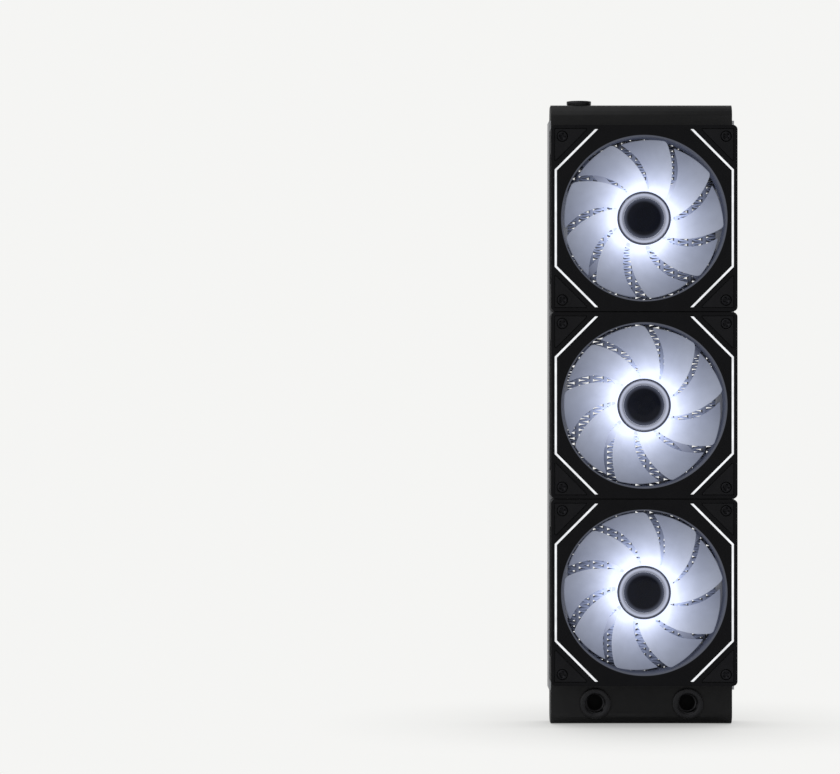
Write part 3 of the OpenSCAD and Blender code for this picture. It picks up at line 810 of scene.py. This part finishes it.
def fin_mesh():
    """Folded strips of foil, one more than there are tubes."""
    solid = Solid()
    sides = foil_sides(fold_line())
    for strip in range(TUBE_COUNT + 1):
        middle = -CORE_WIDTH / 2 + strip * TUBE_STEP + (TUBE_STEP - TUBE_THICK) / 2
        loops = []
        for (ax, az), (bx, bz) in sides:
            front = [(middle + ax, y, az + lift) for y, lift in CHEVRON]
            back = [(middle + bx, y, bz + lift) for y, lift in reversed(CHEVRON)]
            loops.append(front + back)
        solid.skin(loops)
    return solid.build("cooling_fins", [fin_look], sharp=50)


add_piece("folded_fins", fin_mesh(), "radiator", ["cooling_fins"])


# ---- Ports ----

PORT_X = 30
PORT_Z = -193.5
PORT_BORE = 6.55
PORT_THREAD_PITCH = 1.337  # G1/4


def port_mesh():
    """A port with a rounded flange and a G1/4 thread. Z is its axis, and the flange's back is
    at 0."""
    solid = Solid()
    steps = 96
    water_r, neck_r, neck_back, flange_r, face = 5.2, 8.5, -6.5, 10, 1.5
    thread_cut = 0.65
    outside = [(water_r, neck_back), (neck_r, neck_back), (neck_r, 0), (flange_r, 0)]
    outside += [(flange_r, face - 0.4), (flange_r - 0.15, face - 0.1), (flange_r - 0.4, face)]
    outside += [(PORT_BORE + 0.35, face), (PORT_BORE + 0.15, face - 0.1)]
    outside += [(PORT_BORE, face - 0.4)]
    low, high = neck_back + 0.1, face - 0.6
    bore = thread_loops(PORT_BORE, low, high, PORT_THREAD_PITCH, thread_cut, steps)
    solid.skin([circle(r, z, steps) for r, z in outside] + bore[::-1], closed=True)
    return solid.build("port", [port_look], sharp=40)


port = port_mesh()
for name, side in (("inlet_port", -1), ("outlet_port", 1)):
    place = facing_front(side * PORT_X, FAN_BACK_Y, PORT_Z)
    add_piece(name + "_threaded", port, "radiator", [name], place)


# ---- CAD nodes that stay, each with its finish and the width of its rounded edges ----

PER_FAN = [
    ("frame", frame_look, 0.3),
    ("light_guides", guide_look, 0.15),
    ("rotor_yoke", yoke_look, 0.2),
    ("magnet_ring", magnet_look, 0.2),
    ("shaft", shaft_look, 0.15),
    ("shaft_clip", clip_look, 0.1),
    ("bearing_sleeve", bronze_look, 0.15),
    ("stator_core", core_look, 0),
    ("windings", wire_look, 0.2),
    ("driver_board", board_look, 0.05),
]
SHARED = [
    ("corner_pads", pad_look, 0.25),
    ("led_strips", strip_look, 0),
    ("stator_insulators", insulator_look, 0.1),
    ("motor_labels", label_look, 0.05),
    ("power_sockets", socket_look, 0.12),
    ("socket_pins", pin_look, 0.06),
    ("flat_tubes", tube_look, 0),
    ("top_header", paint_look, 0.15),
    ("bottom_header", paint_look, 0.15),
    ("top_tank", paint_look, 0.35),
    ("bottom_tank", paint_look, 0.35),
    ("tank_divider", bare_look, 0.1),
    ("left_rail", bare_look, 0),
    ("right_rail", bare_look, 0),
    ("bleed_plug", port_look, 0.25),
    ("bleed_seal", seal_look, 0),
]

WELD = 0.001  # Points closer than this are joined
BEVEL_FROM = 40  # Edges that turn by more than this, in degrees, are rounded


def finish_node(name, made, edge):
    """Gives a CAD node its material and, unless edge is 0, rounded edges."""
    node = nodes[name]
    node.data.materials.clear()
    node.data.materials.append(made.material)
    weld = node.modifiers.new("weld", "WELD")
    weld.merge_threshold = WELD * MM
    if edge:
        bevel = node.modifiers.new("rounded_edges", "BEVEL")
        bevel.width = edge * MM
        bevel.segments = 2
        bevel.limit_method = "ANGLE"
        bevel.angle_limit = math.radians(BEVEL_FROM)
        bevel.harden_normals = True


for fan, _, _ in FANS:
    for kind, made, edge in PER_FAN:
        finish_node(f"{fan}_{kind}", made, edge)
for name, made, edge in SHARED:
    finish_node(name, made, edge)


# ---- Floor, light and camera ----

PALE = (0.913, 0.913, 0.9)
FLOOR_R = 15000
FLOOR_DROP = 0.2  # How far the floor lies under the part


def floor_surface():
    """Pale like the surroundings, with a painted shadow close under the part."""
    made = Shader("pale_floor", Roughness=0.9, Specular_IOR_Level=0.1)
    made.set("Base Color", (0.8, 0.8, 0.79))
    away = made.remap(made.length(made.place), 500, 3000, 0.0, 1.0, True)
    # Painted shadow: the floor that the camera sees is darkened where it is closed in, close
    # under the part.
    clear = made.node("ShaderNodeAmbientOcclusion", {"Distance": 160 * MM}).outputs["AO"]
    painted_shadow = made.math("MAXIMUM", made.remap(clear, 0.0, 1.0, 0.35, 1.0), away)
    shown = made.node("ShaderNodeEmission", {"Color": PALE, "Strength": painted_shadow}).outputs[0]
    made.feed(made.output.inputs[0], made.two_way(made.bsdf.outputs[0], shown))
    return made


def add_floor():
    mesh = bpy.data.meshes.new("floor")
    rim = [[c * MM for c in point] for point in circle(FLOOR_R, 0, 96)]
    mesh.from_pydata(rim, [], [list(range(len(rim)))])
    mesh.materials.append(floor_surface().material)
    floor = bpy.data.objects.new("floor", mesh)
    floor.location = (0, 0, cad_box[0].z - FLOOR_DROP * MM)
    bpy.context.scene.collection.objects.link(floor)


def add_light():
    """Pale surroundings for the camera. The part is lit by a wide soft light from the upper
    left and a weaker one from behind."""
    world = bpy.data.worlds.new("studio")
    bpy.context.scene.world = world
    world.use_nodes = True
    sky = Nodes(world.node_tree)
    direction = sky.node("ShaderNodeTexCoord").outputs["Generated"]

    def soft_light(aim, low, high, dim, bright):
        toward = sky.vector_math("DOT_PRODUCT", direction, aim)["Value"]
        return sky.remap(toward, low, high, dim, bright, True)

    main = soft_light((-0.66, -0.42, 0.62), 0.2, 0.95, 0.12, 0.9)
    behind = soft_light((0.3, 0.9, 0.32), 0.3, 1.0, 0.0, 0.45)
    both = sky.math("ADD", main, behind)
    pale = sky.node("ShaderNodeBackground", {"Color": PALE, "Strength": 1.0})
    light = sky.node("ShaderNodeBackground", {"Color": (1, 1, 1), "Strength": both})
    mixed = sky.two_way(light.outputs[0], pale.outputs[0])
    sky.node("ShaderNodeOutputWorld", {0: mixed})


def add_camera():
    """Straight at the front, from two metres away and a little to the left, as in the photo."""
    data = bpy.data.cameras.new("camera")
    data.lens = 133.8
    data.sensor_width = 36
    data.clip_end = 50
    camera = bpy.data.objects.new("camera", data)
    camera.location = (-143.7 * MM, -2052 * MM, 11.8 * MM)
    camera.rotation_euler = (math.radians(90), 0, 0)
    bpy.context.scene.collection.objects.link(camera)
    bpy.context.scene.camera = camera
    bpy.context.scene.view_settings.view_transform = "Standard"


add_floor()
add_light()
add_camera()
